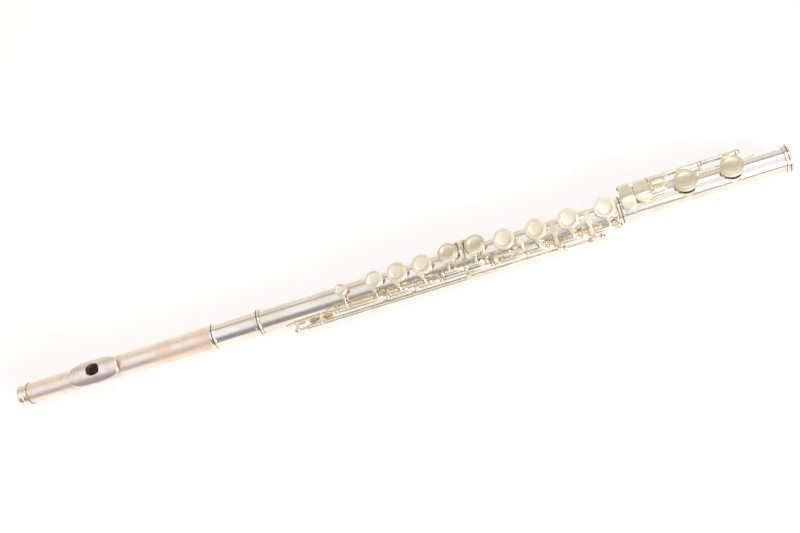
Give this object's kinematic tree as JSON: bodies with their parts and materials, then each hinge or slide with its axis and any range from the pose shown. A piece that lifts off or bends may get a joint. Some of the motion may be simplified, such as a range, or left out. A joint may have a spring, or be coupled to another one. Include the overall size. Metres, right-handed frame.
{
  "type": "concert flute",
  "caption": "Transverse concert flute with a removable head joint and foot joint, closed plateau keys on hinged rods, trill keys, a thumb key and roller foot keys.",
  "frame": {"origin": "centre of the bore at the open end of the foot joint", "axes": "+X along the bore axis, out of the foot's open end, with the head joint at -X; +Z the way the main key cups face; -Y the player's side, where the main, G and trill rods lie"},
  "size_m": [0.67, 0.0377, 0.0389],
  "materials": {
    "tube_silver": "worn silver plating, polished, with a pinkish cast",
    "head_silver": "silver plating worn to copper pink",
    "lip_silver": "dull silver grey",
    "crown_brass": "lacquered brass, polished",
    "key_nickel": "tarnished nickel silver, polished, cream yellow",
    "rod_nickel": "tarnished nickel silver rods",
    "steel": "ground steel",
    "spring_steel": "blued spring steel",
    "pad_skin": "pads of felt under a fish-skin cover",
    "cork": "natural cork"
  },
  "bodies": {
    "body_joint": {"body_tube": "tube_silver", "barrel": "tube_silver", "main_rib": "rod_nickel", "thumb_rib": "rod_nickel", "main_posts": "rod_nickel", "g_posts": "rod_nickel", "trill_posts": "rod_nickel", "thumb_posts": "rod_nickel", "right_steel": "steel", "thumb_steel": "steel", "body_springs": "spring_steel"},
    "head_joint": {"head_tube": "head_silver", "lip_plate": "lip_silver", "riser": "head_silver"},
    "crown": {"crown": "crown_brass"},
    "stopper": {"stopper_screw": "steel", "stopper_cork": "cork"},
    "c_key": {"c_key": "key_nickel", "c_pads": "pad_skin"},
    "bb_key": {"bb_key": "key_nickel", "bb_pad": "pad_skin"},
    "a_key": {"a_key": "key_nickel", "a_pad": "pad_skin"},
    "g_key": {"g_key": "key_nickel", "g_pads": "pad_skin"},
    "g_sharp_key": {"g_sharp_key": "key_nickel", "g_sharp_pad": "pad_skin"},
    "thumb_key": {"thumb_key": "key_nickel", "thumb_pad": "pad_skin"},
    "f_sharp_key": {"f_sharp_key": "key_nickel", "f_sharp_pad": "pad_skin"},
    "f_key": {"f_key": "key_nickel", "f_pad": "pad_skin"},
    "e_key": {"e_key": "key_nickel", "e_pad": "pad_skin"},
    "d_key": {"d_key": "key_nickel", "d_pad": "pad_skin"},
    "d_trill_key": {"d_trill_key": "key_nickel", "d_trill_pad": "pad_skin"},
    "d_sharp_trill_key": {"d_sharp_trill_key": "key_nickel", "d_sharp_trill_pad": "pad_skin"},
    "foot_joint": {"foot_tube": "tube_silver", "foot_socket": "tube_silver", "foot_end_ring": "tube_silver", "foot_rib": "rod_nickel", "foot_posts": "rod_nickel", "foot_springs": "spring_steel"},
    "foot_d_sharp_key": {"foot_d_sharp_key": "key_nickel", "foot_d_sharp_pad": "pad_skin"},
    "foot_c_sharp_key": {"foot_c_sharp_key": "key_nickel", "foot_c_sharp_pad": "pad_skin"},
    "low_c_key": {"low_c_key": "key_nickel", "low_c_pad": "pad_skin"},
    "c_sharp_roller": {"c_sharp_roller": "key_nickel"},
    "low_c_roller": {"low_c_roller": "key_nickel"}
  },
  "joints": [
    {"name": "head_slide", "type": "slide", "parent": "body_joint", "child": "head_joint", "axis": [1, 0, 0], "range_m": [-0.012, 0]},
    {"name": "crown_turn", "type": "hinge", "parent": "head_joint", "child": "crown", "pos_m": [-0.666, 0, 0], "axis": [1, 0, 0], "range_deg": [-720, 720]},
    {"name": "stopper_slide", "type": "slide", "parent": "head_joint", "child": "stopper", "axis": [1, 0, 0], "range_m": [-0.00151, 0.00151]},
    {"name": "foot_turn", "type": "hinge", "parent": "body_joint", "child": "foot_joint", "pos_m": [-0.133, 0, 0], "axis": [1, 0, 0], "range_deg": [-20, 20]},
    {"name": "c_key_hinge", "type": "hinge", "parent": "body_joint", "child": "c_key", "pos_m": [-0.343, -0.01436, 0.00467], "axis": [1, 0, 0], "range_deg": [-9, 0], "stiffness_Nm_per_rad": 0.01, "springref_deg": 20.05},
    {"name": "bb_key_hinge", "type": "hinge", "parent": "body_joint", "child": "bb_key", "pos_m": [-0.315, -0.01436, 0.00467], "axis": [1, 0, 0], "range_deg": [-9, 0], "stiffness_Nm_per_rad": 0.01, "springref_deg": 20.05},
    {"name": "a_key_hinge", "type": "hinge", "parent": "body_joint", "child": "a_key", "pos_m": [-0.293, -0.01436, 0.00467], "axis": [1, 0, 0], "range_deg": [-9, 0], "stiffness_Nm_per_rad": 0.01, "springref_deg": 20.05},
    {"name": "g_key_hinge", "type": "hinge", "parent": "body_joint", "child": "g_key", "pos_m": [-0.261, -0.01198, 0.00919], "axis": [1, 0, 0], "range_deg": [-9, 0], "stiffness_Nm_per_rad": 0.01, "springref_deg": 20.05},
    {"name": "g_sharp_key_hinge", "type": "hinge", "parent": "body_joint", "child": "g_sharp_key", "pos_m": [-0.26, -0.01198, 0.00919], "axis": [1, 0, 0], "range_deg": [0, 8], "stiffness_Nm_per_rad": 0.01, "springref_deg": -20.05},
    {"name": "thumb_key_hinge", "type": "hinge", "parent": "body_joint", "child": "thumb_key", "pos_m": [-0.323, 0.008, -0.01281], "axis": [1, 0, 0], "range_deg": [0, 9], "stiffness_Nm_per_rad": 0.01, "springref_deg": 20.05},
    {"name": "f_sharp_key_hinge", "type": "hinge", "parent": "body_joint", "child": "f_sharp_key", "pos_m": [-0.225, -0.01436, 0.00467], "axis": [1, 0, 0], "range_deg": [-9, 0], "stiffness_Nm_per_rad": 0.01, "springref_deg": 20.05},
    {"name": "f_key_hinge", "type": "hinge", "parent": "body_joint", "child": "f_key", "pos_m": [-0.198, -0.01436, 0.00467], "axis": [1, 0, 0], "range_deg": [-9, 0], "stiffness_Nm_per_rad": 0.01, "springref_deg": 20.05},
    {"name": "e_key_hinge", "type": "hinge", "parent": "body_joint", "child": "e_key", "pos_m": [-0.17, -0.01436, 0.00467], "axis": [1, 0, 0], "range_deg": [-9, 0], "stiffness_Nm_per_rad": 0.01, "springref_deg": 20.05},
    {"name": "d_key_hinge", "type": "hinge", "parent": "body_joint", "child": "d_key", "pos_m": [-0.141, -0.01436, 0.00467], "axis": [1, 0, 0], "range_deg": [-9, 0], "stiffness_Nm_per_rad": 0.01, "springref_deg": 20.05},
    {"name": "d_trill_hinge", "type": "hinge", "parent": "body_joint", "child": "d_trill_key", "pos_m": [-0.293, -0.01582, -0.00394], "axis": [1, 0, 0], "range_deg": [-8, 0], "stiffness_Nm_per_rad": 0.01, "springref_deg": 20.05},
    {"name": "d_sharp_trill_hinge", "type": "hinge", "parent": "body_joint", "child": "d_sharp_trill_key", "pos_m": [-0.273, -0.01582, -0.00394], "axis": [1, 0, 0], "range_deg": [-8, 0], "stiffness_Nm_per_rad": 0.01, "springref_deg": 20.05},
    {"name": "foot_d_sharp_hinge", "type": "hinge", "parent": "foot_joint", "child": "foot_d_sharp_key", "pos_m": [-0.119, 0.0142, 0.0082], "axis": [1, 0, 0], "range_deg": [0, 9], "stiffness_Nm_per_rad": 0.01, "springref_deg": -20.05},
    {"name": "foot_c_sharp_hinge", "type": "hinge", "parent": "foot_joint", "child": "foot_c_sharp_key", "pos_m": [-0.083, 0.0142, 0.0082], "axis": [1, 0, 0], "range_deg": [0, 9], "stiffness_Nm_per_rad": 0.01, "springref_deg": -20.05},
    {"name": "low_c_hinge", "type": "hinge", "parent": "foot_joint", "child": "low_c_key", "pos_m": [-0.083, 0.0142, 0.0082], "axis": [1, 0, 0], "range_deg": [0, 9], "stiffness_Nm_per_rad": 0.01, "springref_deg": -20.05},
    {"name": "c_sharp_roller_spin", "type": "hinge", "parent": "foot_c_sharp_key", "child": "c_sharp_roller", "pos_m": [-0.102, 0.00431, 0.01989], "axis": [1, 0, 0], "continuous": true},
    {"name": "low_c_roller_spin", "type": "hinge", "parent": "low_c_key", "child": "low_c_roller", "pos_m": [-0.102, -0.002, 0.01968], "axis": [1, 0, 0], "continuous": true}
  ],
  "couplings": [
    {"joint": "stopper_slide", "follows": "crown_turn", "m_per_rad": 0.00011937},
    {"joint": "bb_key_hinge", "follows": "a_key_hinge", "ratio": 1},
    {"joint": "f_sharp_key_hinge", "follows": "f_key_hinge", "ratio": 1}
  ]
}
